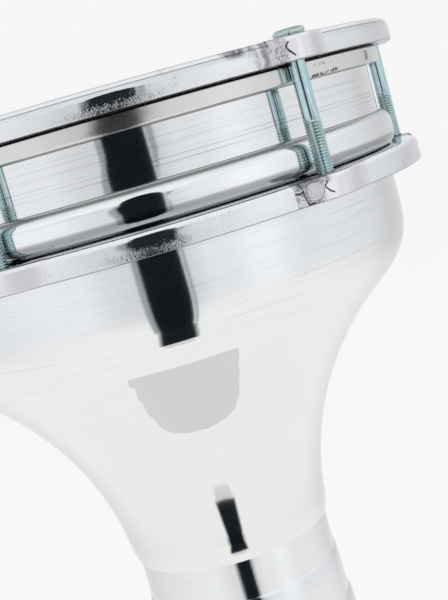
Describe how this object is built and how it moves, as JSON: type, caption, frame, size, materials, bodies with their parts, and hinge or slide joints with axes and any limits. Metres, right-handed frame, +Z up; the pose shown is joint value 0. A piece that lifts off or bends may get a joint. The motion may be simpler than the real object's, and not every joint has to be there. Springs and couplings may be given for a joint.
{
  "type": "goblet drum",
  "caption": "Aluminium goblet drum with a bolted tension ring over a film head, a beaded bowl and a stepped, flared foot.",
  "frame": {"origin": "middle of the foot's resting face, on the drum's axis", "axes": "+Z up along the drum's axis; -Y is the side between two bolts, and the bolts stand at 30, 90, 150, 210, 270 and 330 degrees from it towards +X"},
  "size_m": [0.222, 0.215, 0.4026],
  "materials": {
    "cast_aluminium": "turned satin with fine lathe lines",
    "turned_foot": "turned and polished",
    "polished_bar": "ground and hand polished",
    "welded_lug": "welded, ground and polished",
    "hoop_aluminium": "drawn, dull satin",
    "zinc_plate": "zinc plated, pale blue-green passivation",
    "pin_aluminium": "ground flush",
    "white_film": "smooth white film"
  },
  "bodies": {
    "drum_shell": {"shell_bowl": "cast_aluminium", "foot": "turned_foot", "head_film": "white_film", "lower_ring": "polished_bar", "lower_lug_1": "welded_lug", "lower_lug_2": "welded_lug", "lower_lug_3": "welded_lug", "lower_lug_4": "welded_lug", "lower_lug_5": "welded_lug", "lower_lug_6": "welded_lug", "lug_pin_1": "pin_aluminium", "lug_pin_2": "pin_aluminium", "lug_pin_3": "pin_aluminium", "lug_pin_4": "pin_aluminium", "lug_pin_5": "pin_aluminium", "lug_pin_6": "pin_aluminium"},
    "tension_hoop": {"top_ring": "polished_bar", "flesh_hoop": "hoop_aluminium", "top_lug_1": "welded_lug", "top_lug_2": "welded_lug", "top_lug_3": "welded_lug", "top_lug_4": "welded_lug", "top_lug_5": "welded_lug", "top_lug_6": "welded_lug"},
    "tension_bolt_1": {"bolt_1": "zinc_plate"},
    "tension_bolt_2": {"bolt_2": "zinc_plate"},
    "tension_bolt_3": {"bolt_3": "zinc_plate"},
    "tension_bolt_4": {"bolt_4": "zinc_plate"},
    "tension_bolt_5": {"bolt_5": "zinc_plate"},
    "tension_bolt_6": {"bolt_6": "zinc_plate"}
  },
  "joints": [
    {"name": "hoop_slide", "type": "slide", "parent": "drum_shell", "child": "tension_hoop", "axis": [0, 0, 1], "range_m": [-0.001, 0.003]},
    {"name": "bolt_1_turn", "type": "hinge", "parent": "tension_hoop", "child": "tension_bolt_1", "pos_m": [0.05225, -0.0905, 0.4003], "axis": [0, 0, 1], "range_deg": [-360, 1080]},
    {"name": "bolt_2_turn", "type": "hinge", "parent": "tension_hoop", "child": "tension_bolt_2", "pos_m": [0.1045, 0, 0.4003], "axis": [0, 0, 1], "range_deg": [-360, 1080]},
    {"name": "bolt_3_turn", "type": "hinge", "parent": "tension_hoop", "child": "tension_bolt_3", "pos_m": [0.05225, 0.0905, 0.4003], "axis": [0, 0, 1], "range_deg": [-360, 1080]},
    {"name": "bolt_4_turn", "type": "hinge", "parent": "tension_hoop", "child": "tension_bolt_4", "pos_m": [-0.05225, 0.0905, 0.4003], "axis": [0, 0, 1], "range_deg": [-360, 1080]},
    {"name": "bolt_5_turn", "type": "hinge", "parent": "tension_hoop", "child": "tension_bolt_5", "pos_m": [-0.1045, 0, 0.4003], "axis": [0, 0, 1], "range_deg": [-360, 1080]},
    {"name": "bolt_6_turn", "type": "hinge", "parent": "tension_hoop", "child": "tension_bolt_6", "pos_m": [-0.05225, -0.0905, 0.4003], "axis": [0, 0, 1], "range_deg": [-360, 1080]}
  ],
  "couplings": [
    {"joint": "bolt_1_turn", "follows": "hoop_slide", "rad_per_m": 6283.2},
    {"joint": "bolt_2_turn", "follows": "hoop_slide", "rad_per_m": 6283.2},
    {"joint": "bolt_3_turn", "follows": "hoop_slide", "rad_per_m": 6283.2},
    {"joint": "bolt_4_turn", "follows": "hoop_slide", "rad_per_m": 6283.2},
    {"joint": "bolt_5_turn", "follows": "hoop_slide", "rad_per_m": 6283.2},
    {"joint": "bolt_6_turn", "follows": "hoop_slide", "rad_per_m": 6283.2}
  ]
}
